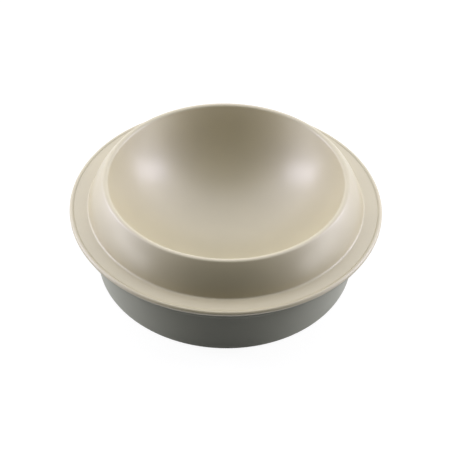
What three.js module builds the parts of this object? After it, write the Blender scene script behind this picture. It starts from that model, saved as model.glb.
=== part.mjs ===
// A round two-piece cake mould in coated sheet steel: a flared pan with a rolled rim, and a bowl-shaped
// insert whose own rolled rim seats on the pan's. Millimetres, +Z up, origin under the middle of the pan.
import * as THREE from 'three';

// Sheet and fits
const SHEET = 0.8;
const SEAT_GAP = 0.3;
const WIRE_FIT = 0.3;
const CURL_TURN = THREE.MathUtils.degToRad(300);

// Pan: radii run inwards from the outer edge of its rolled rim
const PAN_RIM_RADIUS = 117.3;
const PAN_HEIGHT = 56.3;
const PAN_BEAD = 4.8;
const LEDGE_WIDTH = 8.2;
const LEDGE_BEND = 3;
const WALL_FLARE = 6;
const FOOT_BEND = 3.6;

// Insert: its rim reaches past the pan's rim, and its radii run inwards from there
const RIM_OVERHANG = 1.85;
const INSERT_BEAD = 3.8;
const BEAD_RISE = 0.6;
const GROOVE_BEND = 0.7;
const FLANGE_WIDTH = 10.95;
const SLOPE_FOOT_BEND = 2;
const SLOPE_RUN = 15.4;
const SLOPE_RADIUS = 55;
const RIDGE_HEIGHT = 23.7;
const RIDGE_BEND = 2.4;
const BOWL_DEPTH = 60.2;

// Facets
const ROUND_STEPS = 60;
const BOWL_STEPS = 11;
const RIDGE_STEPS = 6;
const SLOPE_STEPS = 4;
const BEND_STEPS = 3;
const CURL_STEPS = 11;
const WIRE_SIDES = 8;

const QUARTER = Math.PI / 2;

const insertCoat = new THREE.MeshStandardMaterial({ color: 0xcbc2b1, roughness: 0.38, metalness: 0.7 });
const panCoat = new THREE.MeshStandardMaterial({ color: 0x6a6c66, roughness: 0.4, metalness: 0.5 });
const wireSteel = new THREE.MeshStandardMaterial({ color: 0x9a9a98, roughness: 0.35, metalness: 1 });

// Points of an arc in the half-plane of radius and height, both ends included
function arc(centre, radius, from, to, steps) {
  const points = [];
  for (let step = 0; step <= steps; step += 1) {
    const angle = from + ((to - from) * step) / steps;
    const spoke = new THREE.Vector2(Math.cos(angle), Math.sin(angle));
    points.push(spoke.multiplyScalar(radius).add(centre));
  }
  return points;
}

// The arc that rounds the corner of a path
function bend(before, corner, after, radius) {
  const into = corner.clone().sub(before).normalize();
  const out = after.clone().sub(corner).normalize();
  const side = Math.sign(into.cross(out));
  const turn = Math.acos(into.dot(out));
  const tangent = radius * Math.tan(turn / 2);
  const start = corner.clone().addScaledVector(into, -tangent);
  const inward = new THREE.Vector2(-into.y, into.x).multiplyScalar(side);
  const centre = start.clone().addScaledVector(inward, radius);
  const from = inward.negate().angle();
  return arc(centre, radius, from, from + side * turn, BEND_STEPS);
}

// A rolled edge: the sheet's middle line turns clockwise round the curl's centre
function curl(centre, bead, from) {
  return arc(centre, (bead - SHEET) / 2, from, from - CURL_TURN, CURL_STEPS);
}

// The section of a sheet whose middle line runs from the axis to its free edge
function sheetSection(path) {
  const above = [];
  const below = [];
  path.forEach((point, index) => {
    const before = path[Math.max(index - 1, 0)];
    const after = path[Math.min(index + 1, path.length - 1)];
    const into = (index > 0 ? point.clone().sub(before) : after.clone().sub(point)).normalize();
    const out = (index < path.length - 1 ? after.clone().sub(point) : into.clone()).normalize();
    const along = into.clone().add(out).normalize();
    const reach = SHEET / 2 / along.dot(into);
    const across = new THREE.Vector2(-along.y, along.x).multiplyScalar(reach);
    above.push(point.clone().add(across));
    below.push(point.clone().sub(across));
  });
  above[0].x = 0;
  below[0].x = 0;
  return [...below, ...above.reverse()];
}

function spunSheet(name, path, material) {
  const mesh = new THREE.Mesh(new THREE.LatheGeometry(sheetSection(path), ROUND_STEPS), material);
  mesh.name = name;
  mesh.rotation.x = QUARTER;
  return mesh;
}

function rimWire(name, centre, bead) {
  const radius = bead / 2 - SHEET - WIRE_FIT;
  const ring = new THREE.TorusGeometry(centre.x, radius, WIRE_SIDES, ROUND_STEPS);
  const mesh = new THREE.Mesh(ring, wireSteel);
  mesh.name = name;
  mesh.position.z = centre.y;
  return mesh;
}

const panCurl = new THREE.Vector2(PAN_RIM_RADIUS - PAN_BEAD / 2, PAN_HEIGHT - PAN_BEAD / 2);

// Middle line of the pan: floor, foot, wall, ledge, rolled rim
function panPath() {
  const middle = new THREE.Vector2(0, SHEET / 2);
  const wallTop = new THREE.Vector2(panCurl.x - LEDGE_WIDTH, PAN_HEIGHT - SHEET / 2);
  const foot = new THREE.Vector2(wallTop.x - WALL_FLARE, middle.y);
  const ledgeEnd = new THREE.Vector2(panCurl.x, wallTop.y);
  return [
    middle,
    ...bend(middle, foot, wallTop, FOOT_BEND),
    ...bend(foot, wallTop, ledgeEnd, LEDGE_BEND),
    ...curl(panCurl, PAN_BEAD, QUARTER),
  ];
}

// The insert's rolled rim rests on the outer shoulder of the pan's, which centres it
const beadOffset = RIM_OVERHANG + (PAN_BEAD - INSERT_BEAD) / 2;
const beadSpacing = (PAN_BEAD + INSERT_BEAD) / 2 + SEAT_GAP;
const seatRise = Math.sqrt(beadSpacing ** 2 - beadOffset ** 2);
const insertCurl = new THREE.Vector2(panCurl.x + beadOffset, panCurl.y + seatRise);

// Middle line of the insert: bowl, ridge, slope, flange, groove, rolled rim
function insertPath() {
  const flangeTop = insertCurl.y + INSERT_BEAD / 2 - BEAD_RISE;
  const flange = flangeTop - SHEET / 2;
  const slopeFoot = new THREE.Vector2(insertCurl.x - FLANGE_WIDTH, flange + SLOPE_FOOT_BEND);
  const ridgeTop = flangeTop + RIDGE_HEIGHT - SHEET / 2;
  const ridge = new THREE.Vector2(slopeFoot.x - SLOPE_RUN, ridgeTop - RIDGE_BEND);

  // The bowl is a part of a sphere that runs smoothly into the ridge
  const bowlBottom = ridgeTop - BOWL_DEPTH;
  const rise = ridge.y - bowlBottom;
  const bowlRadius = (ridge.x ** 2 + rise ** 2 - RIDGE_BEND ** 2) / (2 * (rise + RIDGE_BEND));
  const bowl = new THREE.Vector2(0, bowlBottom + bowlRadius);
  const mouth = Math.atan2(ridge.y - bowl.y, ridge.x);

  // The slope bulges: it is an arc that touches the ridge and the bend at its foot
  const span = slopeFoot.clone().sub(ridge);
  const toRidge = SLOPE_RADIUS - RIDGE_BEND;
  const toFoot = SLOPE_RADIUS + SLOPE_FOOT_BEND;
  const along = (toRidge ** 2 - toFoot ** 2 + span.lengthSq()) / (2 * span.length());
  const aside = Math.sqrt(toRidge ** 2 - along ** 2);
  const unit = span.clone().normalize();
  const inward = new THREE.Vector2(unit.y, -unit.x);
  const slope = ridge.clone().addScaledVector(unit, along).addScaledVector(inward, aside);
  const slopeTop = Math.atan2(ridge.y - slope.y, ridge.x - slope.x);
  const slopeEnd = Math.atan2(slopeFoot.y - slope.y, slopeFoot.x - slope.x);

  const drop = insertCurl.y - flange - GROOVE_BEND;
  const reach = Math.sqrt(((INSERT_BEAD - SHEET) / 2 + GROOVE_BEND) ** 2 - drop ** 2);
  const groove = new THREE.Vector2(insertCurl.x - reach, flange + GROOVE_BEND);
  const grooveEnd = Math.atan2(drop, reach);
  return [
    ...arc(bowl, bowlRadius, -QUARTER, mouth, BOWL_STEPS),
    ...arc(ridge, RIDGE_BEND, mouth + Math.PI, slopeTop, RIDGE_STEPS).slice(1),
    ...arc(slope, SLOPE_RADIUS, slopeTop, slopeEnd, SLOPE_STEPS).slice(1),
    ...arc(slopeFoot, SLOPE_FOOT_BEND, slopeEnd - Math.PI, -QUARTER, BEND_STEPS).slice(1),
    ...arc(groove, GROOVE_BEND, -QUARTER, grooveEnd, BEND_STEPS),
    ...curl(insertCurl, INSERT_BEAD, grooveEnd + Math.PI).slice(1),
  ];
}

const pan = new THREE.Group();
pan.add(spunSheet('cake_pan', panPath(), panCoat));
pan.add(rimWire('pan_rim_wire', panCurl, PAN_BEAD));

const insert = new THREE.Group();
insert.add(spunSheet('bowl_insert', insertPath(), insertCoat));
insert.add(rimWire('insert_rim_wire', insertCurl, INSERT_BEAD));

const mould = new THREE.Group();
mould.add(pan, insert);

export default mould;
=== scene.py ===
"""A round two-piece cake mould: a grey pan with a rolled rim, and a champagne bowl insert that seats on it.

Metres, +Z up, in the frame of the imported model. The main sizes are read from the frame.
"""
import math

import bmesh
import bpy
from mathutils import Matrix, Quaternion, Vector


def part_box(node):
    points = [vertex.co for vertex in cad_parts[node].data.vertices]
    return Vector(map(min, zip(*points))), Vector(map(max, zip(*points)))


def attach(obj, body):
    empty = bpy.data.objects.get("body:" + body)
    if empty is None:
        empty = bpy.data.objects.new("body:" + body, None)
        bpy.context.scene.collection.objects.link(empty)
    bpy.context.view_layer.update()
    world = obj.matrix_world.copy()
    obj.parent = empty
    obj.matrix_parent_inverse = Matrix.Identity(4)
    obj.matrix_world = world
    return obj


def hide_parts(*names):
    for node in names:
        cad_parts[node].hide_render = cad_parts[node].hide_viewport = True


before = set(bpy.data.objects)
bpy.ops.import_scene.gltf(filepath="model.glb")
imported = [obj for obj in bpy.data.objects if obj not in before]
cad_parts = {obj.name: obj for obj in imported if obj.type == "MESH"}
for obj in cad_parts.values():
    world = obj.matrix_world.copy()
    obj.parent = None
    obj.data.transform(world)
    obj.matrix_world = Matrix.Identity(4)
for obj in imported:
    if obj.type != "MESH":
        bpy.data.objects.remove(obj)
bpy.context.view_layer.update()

# Sheet steel
SHEET = 0.0008
CURL_TURN = math.radians(300)

# Pan
LEDGE_WIDTH = 0.0082
LEDGE_BEND = 0.003
WALL_FLARE = 0.006
FOOT_BEND = 0.0036

# Insert
BEAD_RISE = 0.0006
GROOVE_BEND = 0.0007
FLANGE_WIDTH = 0.01095
SLOPE_FOOT_BEND = 0.002
SLOPE_RUN = 0.0154
SLOPE_RADIUS = 0.055
RIDGE_BEND = 0.0024

# Fineness of the meshes
SEGMENTS = 192
BEND_STEP = math.radians(7.5)
BOWL_STEP = math.radians(2.5)
SUPPORT = 0.0006
SHORTEST_STRAIGHT = 3 * SUPPORT
SHARP_ANGLE = math.radians(50)

# Noise in the coats and the wire, with scales per metre
NOISE_LOW = 0.3
NOISE_HIGH = 0.7
CLOUD_SCALE = 28
CLOUD_DETAIL = 3
GRAIN_SCALE = 2600
GRAIN_DETAIL = 1
GRAIN_HEIGHT = 0.00001
GRAIN_STRENGTH = 0.3
MOTTLE_SCALE = 1800
MOTTLE_DETAIL = 2

# Clear film and bare steel
CLEAR_ROUGHNESS = 0.28
CLEAR_INDEX = 1.65
STEEL_DARK = (0.3, 0.3, 0.29, 1)
STEEL_LIGHT = (0.42, 0.42, 0.41, 1)
STEEL_ROUGHNESS = (0.25, 0.42)

# Camera
LENS = 75.66
SENSOR = 36
CAMERA_DISTANCE = 0.7484
CAMERA_PITCH = math.radians(42.64)
CAMERA_ROLL = math.radians(1.18)
CAMERA_AIM = Vector((0.0004, 0, 0.0304))

# Studio
FLOOR_RADIUS = 6
FLOOR_GREY = (0.15, 0.15, 0.15, 1)
FLOOR_GLOW = 0.93
BACKDROP_HALF_ANGLE = math.radians(80)
BACKDROP_HEIGHT = 1.6
SKY = 1.54
SKY_COLOUR = (1, 1, 1.02, 1)
SKY_TILT = math.radians(23)
# Where along its tilted axis, from -1 in front to 1 behind, the sky starts to brighten and is full
SKY_DARK = -0.6
SKY_BRIGHT = -0.2
LAMP_DISTANCE = 1.3
# Watts per square metre of lamp at a radiance of 1
LAMP_POWER = 4
FILL_SIZE = (0.8, 0.5)
FILL_AZIMUTH = math.radians(107)
FILL_ELEVATION = math.radians(3)
FILL_COLOUR = (1, 0.97, 0.98)
FILL_RADIANCE = 1.8
STRIP_SIZE = (0.27, 0.7)
STRIP_AZIMUTH = math.radians(78)
STRIP_ELEVATION = math.radians(26)
STRIP_LEAN = math.radians(40)
STRIP_COLOUR = (1, 0.975, 1.16)
STRIP_RADIANCE = 5.8
FLAG_RADIUS = 0.34
FLAG_HALF_ANGLE = math.radians(51)
FLAG_HEIGHT = 0.16
FLAG_COLOUR = (0.02, 0.02, 0.02, 1)
SCREEN_STEPS = 24

QUARTER = math.pi / 2


def spoke(angle):
    return Vector((math.cos(angle), math.sin(angle)))


def arc(centre, radius, start, end, step=BEND_STEP):
    """Points of an arc in the half-plane of radius and height, both ends included."""
    steps = max(2, math.ceil(abs(end - start) / step))
    return [centre + spoke(start + (end - start) * i / steps) * radius for i in range(steps + 1)]


def bend(before, corner, after, radius):
    """The arc that rounds the corner of a path."""
    into = (corner - before).normalized()
    out = (after - corner).normalized()
    side = math.copysign(1, into.cross(out))
    turn = math.acos(into.dot(out))
    start = corner - into * radius * math.tan(turn / 2)
    inward = Vector((-into.y, into.x)) * side
    first = math.atan2(-inward.y, -inward.x)
    return arc(start + inward * radius, radius, first, first + side * turn)


def joined(*stretches):
    """One path of several, with points close to both ends of each straight gap, so that it shades flat."""
    path = list(stretches[0])
    for stretch in stretches[1:]:
        along = stretch[0] - path[-1]
        if along.length > SHORTEST_STRAIGHT:
            step = along.normalized() * SUPPORT
            path += [path[-1] + step, stretch[0] - step]
        path += stretch
    return path


def sheet_section(path):
    """The closed section of a sheet whose middle line runs from the axis to its free edge."""
    above = []
    below = []
    for i, point in enumerate(path):
        into = (point - path[i - 1]).normalized() if i else (path[1] - point).normalized()
        out = (path[i + 1] - point).normalized() if i + 1 < len(path) else into
        along = (into + out).normalized()
        across = Vector((-along.y, along.x)) * SHEET / 2 / along.dot(into)
        above.append(point + across)
        below.append(point - across)
    above[0].x = 0
    below[0].x = 0
    return below + above[::-1]


def rolled_edge(wire, piece):
    """Centre and middle-line radius of a rolled edge, from the wire inside it and the piece that it ends."""
    low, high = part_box(wire)
    centre = Vector((high.x - (high.z - low.z) / 2, (low.z + high.z) / 2))
    return centre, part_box(piece)[1].x - centre.x - SHEET / 2


def pan_path():
    """Middle line of the pan: floor, foot, wall, ledge, rolled rim."""
    curl, curl_radius = rolled_edge("pan_rim_wire", "cake_pan")
    middle = Vector((0, SHEET / 2))
    wall_top = Vector((curl.x - LEDGE_WIDTH, curl.y + curl_radius))
    foot = Vector((wall_top.x - WALL_FLARE, middle.y))
    ledge_end = Vector((curl.x, wall_top.y))
    return joined(
        [middle],
        bend(middle, foot, wall_top, FOOT_BEND),
        bend(foot, wall_top, ledge_end, LEDGE_BEND),
        arc(curl, curl_radius, QUARTER, QUARTER - CURL_TURN),
    )


def insert_path():
    """Middle line of the insert: bowl, ridge, slope, flange, groove, rolled rim."""
    low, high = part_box("bowl_insert")
    curl, curl_radius = rolled_edge("insert_rim_wire", "bowl_insert")
    flange = curl.y + curl_radius - BEAD_RISE
    slope_foot = Vector((curl.x - FLANGE_WIDTH, flange + SLOPE_FOOT_BEND))
    ridge = Vector((slope_foot.x - SLOPE_RUN, high.z - SHEET / 2 - RIDGE_BEND))

    # The bowl is a part of a sphere that runs smoothly into the ridge
    bottom = low.z + SHEET / 2
    rise = ridge.y - bottom
    bowl_radius = (ridge.x ** 2 + rise ** 2 - RIDGE_BEND ** 2) / (2 * (rise + RIDGE_BEND))
    bowl = Vector((0, bottom + bowl_radius))
    mouth = math.atan2(ridge.y - bowl.y, ridge.x)

    # The slope bulges: it is an arc that touches the ridge and the bend at its foot
    span = slope_foot - ridge
    to_ridge = SLOPE_RADIUS - RIDGE_BEND
    to_foot = SLOPE_RADIUS + SLOPE_FOOT_BEND
    along = (to_ridge ** 2 - to_foot ** 2 + span.length_squared) / (2 * span.length)
    aside = math.sqrt(to_ridge ** 2 - along ** 2)
    unit = span.normalized()
    slope = ridge + unit * along + Vector((unit.y, -unit.x)) * aside
    slope_top = math.atan2(ridge.y - slope.y, ridge.x - slope.x)
    slope_end = math.atan2(slope_foot.y - slope.y, slope_foot.x - slope.x)

    drop = curl.y - flange - GROOVE_BEND
    reach = math.sqrt((curl_radius + GROOVE_BEND) ** 2 - drop ** 2)
    groove = Vector((curl.x - reach, flange + GROOVE_BEND))
    groove_end = math.atan2(drop, reach)
    curl_start = groove_end + math.pi
    return joined(
        arc(bowl, bowl_radius, -QUARTER, mouth, BOWL_STEP),
        arc(ridge, RIDGE_BEND, mouth + math.pi, slope_top)[1:],
        arc(slope, SLOPE_RADIUS, slope_top, slope_end, BOWL_STEP)[1:],
        arc(slope_foot, SLOPE_FOOT_BEND, slope_end - math.pi, -QUARTER)[1:],
        arc(groove, GROOVE_BEND, -QUARTER, groove_end),
        arc(curl, curl_radius, curl_start, curl_start - CURL_TURN)[1:],
    )


def add_object(name, data):
    thing = bpy.data.objects.new(name, data)
    bpy.context.scene.collection.objects.link(thing)
    return thing


def spun(name, path, material):
    """A round piece of sheet, turned about the Z axis."""
    mesh = bmesh.new()
    rings = []
    for point in sheet_section(path):
        if point.x == 0:
            rings.append([mesh.verts.new((0, 0, point.y))])
            continue
        spokes = [spoke(math.tau * i / SEGMENTS) * point.x for i in range(SEGMENTS)]
        rings.append([mesh.verts.new((s.x, s.y, point.y)) for s in spokes])
    for ring, after in zip(rings, rings[1:]):
        for i in range(SEGMENTS):
            sides = [ring[i % len(ring)], ring[(i + 1) % len(ring)]]
            sides += [after[(i + 1) % len(after)], after[i % len(after)]]
            mesh.faces.new(dict.fromkeys(sides))
    data = bpy.data.meshes.new(name)
    mesh.to_mesh(data)
    mesh.free()
    data.shade_smooth()
    data.set_sharp_from_angle(angle=SHARP_ANGLE)
    data.materials.append(material)
    return add_object(name, data)


class Nodes:
    """Adds shader nodes to a material or the world and links them."""

    def __init__(self, owner):
        self.owner = owner
        self.tree = owner.node_tree
        self.tree.nodes.clear()

    def add(self, kind, **values):
        node = self.tree.nodes.new(kind)
        for key, value in values.items():
            setattr(node, key, value)
        return node

    def link(self, output, socket):
        self.tree.links.new(output, socket)

    def noise(self, scale, detail):
        coordinates = self.add("ShaderNodeTexCoord")
        noise = self.add("ShaderNodeTexNoise")
        noise.inputs["Scale"].default_value = scale
        noise.inputs["Detail"].default_value = detail
        self.link(coordinates.outputs["Object"], noise.inputs["Vector"])
        return noise.outputs["Fac"]

    def ramp(self, factor, first, last):
        """Maps the middle of a noise to colours from first to last."""
        ramp = self.add("ShaderNodeValToRGB")
        ramp.color_ramp.elements[0].position = NOISE_LOW
        ramp.color_ramp.elements[0].color = first
        ramp.color_ramp.elements[1].position = NOISE_HIGH
        ramp.color_ramp.elements[1].color = last
        self.link(factor, ramp.inputs["Fac"])
        return ramp.outputs["Color"]

    def span(self, factor, low, high):
        """Maps the middle of a noise to values from low to high."""
        span = self.add("ShaderNodeMapRange")
        span.inputs["From Min"].default_value = NOISE_LOW
        span.inputs["From Max"].default_value = NOISE_HIGH
        span.inputs["To Min"].default_value = low
        span.inputs["To Max"].default_value = high
        self.link(factor, span.inputs["Value"])
        return span.outputs["Result"]

    def bump(self, height, distance, strength):
        bump = self.add("ShaderNodeBump")
        bump.inputs["Distance"].default_value = distance
        bump.inputs["Strength"].default_value = strength
        self.link(height, bump.inputs["Height"])
        return bump.outputs["Normal"]

    def seen(self):
        """1 for what the camera sees, directly or in a reflection, and 0 for light that falls on things."""
        path = self.add("ShaderNodeLightPath")
        seen = path.outputs["Is Camera Ray"]
        for ray in ("Is Glossy Ray", "Is Transmission Ray"):
            either = self.add("ShaderNodeMath", operation="MAXIMUM")
            self.link(seen, either.inputs[0])
            self.link(path.outputs[ray], either.inputs[1])
            seen = either.outputs["Value"]
        return seen

    def output(self, shader):
        output = self.add("ShaderNodeOutputMaterial")
        self.link(shader, output.inputs["Surface"])


def new_material(name):
    material = bpy.data.materials.new(name)
    material.use_nodes = True
    return material


def coat(name, dark, light, tint, index, roughness, clear):
    """A sprayed satin coat with a slightly clouded colour and a fine grain, under a share of clear film."""
    nodes = Nodes(new_material(name))
    shader = nodes.add("ShaderNodeBsdfPrincipled")
    cloud = nodes.noise(CLOUD_SCALE, CLOUD_DETAIL)
    grain = nodes.noise(GRAIN_SCALE, GRAIN_DETAIL)
    nodes.link(nodes.ramp(cloud, dark, light), shader.inputs["Base Color"])
    nodes.link(nodes.span(grain, *roughness), shader.inputs["Roughness"])
    nodes.link(nodes.bump(grain, GRAIN_HEIGHT, GRAIN_STRENGTH), shader.inputs["Normal"])
    shader.inputs["IOR"].default_value = index
    shader.inputs["Specular Tint"].default_value = tint
    shader.inputs["Coat Weight"].default_value = clear
    shader.inputs["Coat Roughness"].default_value = CLEAR_ROUGHNESS
    shader.inputs["Coat IOR"].default_value = CLEAR_INDEX
    nodes.output(shader.outputs["BSDF"])
    return nodes.owner


def drawn_steel():
    """Bare wire, finely mottled in colour and shine."""
    nodes = Nodes(new_material("drawn_steel"))
    shader = nodes.add("ShaderNodeBsdfPrincipled")
    mottle = nodes.noise(MOTTLE_SCALE, MOTTLE_DETAIL)
    nodes.link(nodes.ramp(mottle, STEEL_DARK, STEEL_LIGHT), shader.inputs["Base Color"])
    nodes.link(nodes.span(mottle, *STEEL_ROUGHNESS), shader.inputs["Roughness"])
    shader.inputs["Metallic"].default_value = 1
    nodes.output(shader.outputs["BSDF"])
    return nodes.owner


def studio_white():
    """A surface that keeps the mould's shadow, and shows white to the eye and in reflections."""
    nodes = Nodes(new_material("studio_white"))
    matt = nodes.add("ShaderNodeBsdfDiffuse")
    matt.inputs["Color"].default_value = FLOOR_GREY
    strength = nodes.add("ShaderNodeMath", operation="MULTIPLY")
    strength.inputs[1].default_value = FLOOR_GLOW
    nodes.link(nodes.seen(), strength.inputs[0])
    glow = nodes.add("ShaderNodeEmission")
    nodes.link(strength.outputs["Value"], glow.inputs["Strength"])
    both = nodes.add("ShaderNodeAddShader")
    nodes.link(matt.outputs["BSDF"], both.inputs[0])
    nodes.link(glow.outputs["Emission"], both.inputs[1])
    nodes.output(both.outputs["Shader"])
    return nodes.owner


def dark_cloth():
    nodes = Nodes(new_material("flag_cloth"))
    matt = nodes.add("ShaderNodeBsdfDiffuse")
    matt.inputs["Color"].default_value = FLAG_COLOUR
    nodes.output(matt.outputs["BSDF"])
    return nodes.owner


def stage_mesh(name, corners, faces, material):
    data = bpy.data.meshes.new(name)
    data.from_pydata(corners, [], faces)
    data.materials.append(material)
    piece = add_object(name, data)
    return piece


def make_floor(material):
    rim = [spoke(math.tau * i / SEGMENTS) * FLOOR_RADIUS for i in range(SEGMENTS)]
    stage_mesh("floor", [(p.x, p.y, 0) for p in rim], [range(SEGMENTS)], material)


def make_screen(name, radius, half_angle, height, material):
    """An upright screen on the floor, curved round the front of the mould."""
    turns = [half_angle * (2 * i / SCREEN_STEPS - 1) - QUARTER for i in range(SCREEN_STEPS + 1)]
    feet = [spoke(turn) * radius for turn in turns]
    corners = [(p.x, p.y, z) for z in (0, height) for p in feet]
    faces = [(i, i + 1, i + SCREEN_STEPS + 2, i + SCREEN_STEPS + 1) for i in range(SCREEN_STEPS)]
    return stage_mesh(name, corners, faces, material)


def make_softbox(name, size, azimuth, elevation, lean, colour, radiance):
    """A soft lamp that faces the mould, at an angle from straight behind it, and leans to one side."""
    lamp = bpy.data.lights.new(name, "AREA")
    lamp.shape = "RECTANGLE"
    lamp.size, lamp.size_y = size
    lamp.energy = radiance * LAMP_POWER * lamp.size * lamp.size_y
    lamp.color = colour
    level = math.cos(elevation)
    away = Vector((math.sin(azimuth) * level, math.cos(azimuth) * level, math.sin(elevation)))
    light = add_object(name, lamp)
    light.location = CAMERA_AIM + away * LAMP_DISTANCE
    light.rotation_mode = "QUATERNION"
    light.rotation_quaternion = away.to_track_quat("Z", "Y") @ Quaternion((0, 0, 1), lean)
    light.visible_camera = False


def make_world():
    """Light from behind and above the mould, and little from in front."""
    world = bpy.data.worlds.new("studio")
    world.use_nodes = True
    nodes = Nodes(world)
    coordinates = nodes.add("ShaderNodeTexCoord")
    backward = nodes.add("ShaderNodeVectorMath", operation="DOT_PRODUCT")
    backward.inputs[1].default_value = (0, math.cos(SKY_TILT), -math.sin(SKY_TILT))
    nodes.link(coordinates.outputs["Generated"], backward.inputs[0])
    shade = nodes.add("ShaderNodeMapRange", interpolation_type="SMOOTHSTEP")
    shade.inputs["From Min"].default_value = SKY_DARK
    shade.inputs["From Max"].default_value = SKY_BRIGHT
    shade.inputs["To Max"].default_value = SKY
    nodes.link(backward.outputs["Value"], shade.inputs["Value"])
    background = nodes.add("ShaderNodeBackground")
    background.inputs["Color"].default_value = SKY_COLOUR
    nodes.link(shade.outputs["Result"], background.inputs["Strength"])
    output = nodes.add("ShaderNodeOutputWorld")
    nodes.link(background.outputs["Background"], output.inputs["Surface"])
    bpy.context.scene.world = world


def make_camera():
    camera = bpy.data.cameras.new("camera")
    camera.lens = LENS
    camera.sensor_width = SENSOR
    eye = add_object("camera", camera)
    back = Vector((0, -math.cos(CAMERA_PITCH), math.sin(CAMERA_PITCH)))
    turn = Matrix.Rotation(QUARTER - CAMERA_PITCH, 4, "X") @ Matrix.Rotation(CAMERA_ROLL, 4, "Z")
    eye.matrix_world = Matrix.Translation(CAMERA_AIM + back * CAMERA_DISTANCE) @ turn
    bpy.context.scene.camera = eye


def make_mould():
    champagne = coat(
        "champagne_coat",
        dark=(0.51, 0.45, 0.276, 1),
        light=(0.545, 0.481, 0.295, 1),
        tint=(0.95, 0.93, 1, 1),
        index=2.45,
        roughness=(0.54, 0.62),
        clear=0.6,
    )
    grey = coat(
        "grey_coat",
        dark=(0.46, 0.468, 0.395, 1),
        light=(0.5, 0.508, 0.43, 1),
        tint=(1, 1, 1, 1),
        index=1.25,
        roughness=(0.38, 0.46),
        clear=0,
    )
    pan = spun("pan_sheet", pan_path(), grey)
    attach(pan, "pan")
    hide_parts("cake_pan")
    insert = spun("insert_sheet", insert_path(), champagne)
    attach(insert, "insert")
    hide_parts("bowl_insert")
    steel = drawn_steel()
    for wire in ("pan_rim_wire", "insert_rim_wire"):
        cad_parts[wire].data.materials.clear()
        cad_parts[wire].data.materials.append(steel)


make_mould()
make_camera()
white = studio_white()
make_floor(white)
make_screen("backdrop", FLOOR_RADIUS, BACKDROP_HALF_ANGLE, BACKDROP_HEIGHT, white)
# A low dark flag shades the front of the mould, and the camera looks through it
make_screen("flag", FLAG_RADIUS, FLAG_HALF_ANGLE, FLAG_HEIGHT, dark_cloth()).visible_camera = False
for side in (-1, 1):
    fill_azimuth = side * FILL_AZIMUTH
    strip_azimuth = side * STRIP_AZIMUTH
    lean = side * STRIP_LEAN
    make_softbox("fill", FILL_SIZE, fill_azimuth, FILL_ELEVATION, 0, FILL_COLOUR, FILL_RADIANCE)
    make_softbox("strip", STRIP_SIZE, strip_azimuth, STRIP_ELEVATION, lean, STRIP_COLOUR, STRIP_RADIANCE)
make_world()
bpy.context.scene.view_settings.view_transform = "Standard"
